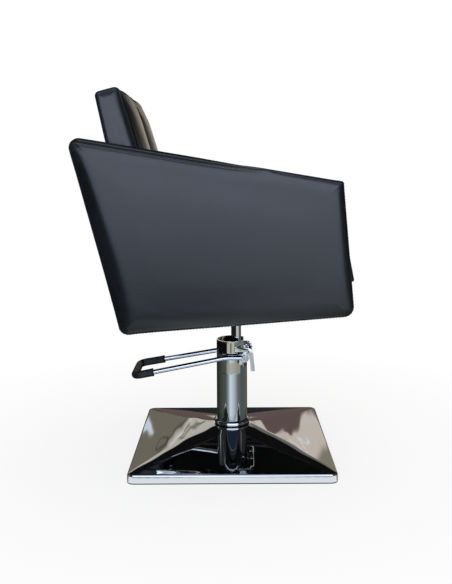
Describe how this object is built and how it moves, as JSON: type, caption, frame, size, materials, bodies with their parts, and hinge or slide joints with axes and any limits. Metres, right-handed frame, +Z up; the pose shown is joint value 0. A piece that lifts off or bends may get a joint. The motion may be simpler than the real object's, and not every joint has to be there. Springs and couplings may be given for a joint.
{
  "type": "hairdressing chair",
  "caption": "Padded salon chair with sloping side panels on a foot-pumped lifting column and a square weighted base; the seat rises, lowers and swivels.",
  "frame": {"origin": "on the floor, on the axis of the pump column at the middle of the square base", "axes": "+X the way the sitter faces, +Y the sitter's left, +Z up"},
  "size_m": [0.6708, 0.6034, 0.9431],
  "materials": {
    "leatherette": "satin grained leatherette",
    "chrome": "polished chrome plate",
    "steel": "zinc-plated steel",
    "cast_iron": "machined cast iron",
    "black_enamel": "black enamel",
    "bronze": "sintered bronze",
    "black_rubber": "moulded rubber",
    "plywood": "raw plywood",
    "frame_cloth": "plywood box wrapped in black cloth"
  },
  "bodies": {
    "base": {"base_cover": "chrome", "ballast_plate": "steel", "floor_gasket": "black_rubber", "trim_ring": "chrome", "pump_flange": "steel", "flange_bolts": "steel", "reservoir_tube": "chrome", "pump_head": "cast_iron", "filler_plug": "steel", "pump_cylinder": "steel", "cylinder_gland": "cast_iron", "guide_bush": "bronze", "wiper_seal": "black_rubber", "upper_sleeve": "chrome", "pivot_bolts": "chrome"},
    "ram": {"piston": "steel", "piston_seal": "black_rubber", "thrust_washer": "bronze"},
    "seat": {"lift_rod": "chrome", "piston_bolt": "steel", "seat_mount": "black_enamel", "hub_screws": "steel", "mount_bolts": "steel", "seat_frame": "frame_cloth", "seat_board": "plywood", "seat_cushion": "leatherette", "back_brackets": "black_enamel", "bracket_bolts": "steel", "back_board": "plywood", "backrest_cushion": "leatherette", "arm_board_left": "plywood", "arm_board_right": "plywood", "arm_pad_left": "leatherette", "arm_pad_right": "leatherette", "arm_bolts": "steel"},
    "pedal": {"pedal_yoke": "chrome", "pedal_bar": "chrome", "pedal_grip": "black_rubber", "cross_pin": "steel"},
    "plunger": {"pump_plunger": "steel", "spring_cup": "steel", "plunger_spring": "steel"}
  },
  "joints": [
    {"name": "ram_lift", "type": "slide", "parent": "base", "child": "ram", "axis": [0, 0, 1], "range_m": [-0.065, 0.085]},
    {"name": "seat_swivel", "type": "hinge", "parent": "ram", "child": "seat", "pos_m": [0.012, 0, 0.132], "axis": [0, 0, 1], "continuous": true},
    {"name": "pedal_press", "type": "hinge", "parent": "base", "child": "pedal", "pos_m": [0.0325, 0, 0.248], "axis": [0, -1, 0], "range_deg": [0, 22], "stiffness_Nm_per_rad": 6, "springref_deg": -22.92},
    {"name": "plunger_stroke", "type": "slide", "parent": "base", "child": "plunger", "axis": [0, 0, -1], "range_m": [0, 0.0205], "deforming": ["plunger_spring"]}
  ],
  "couplings": [
    {"joint": "plunger_stroke", "follows": "pedal_press", "m_per_rad": 0.05317}
  ]
}
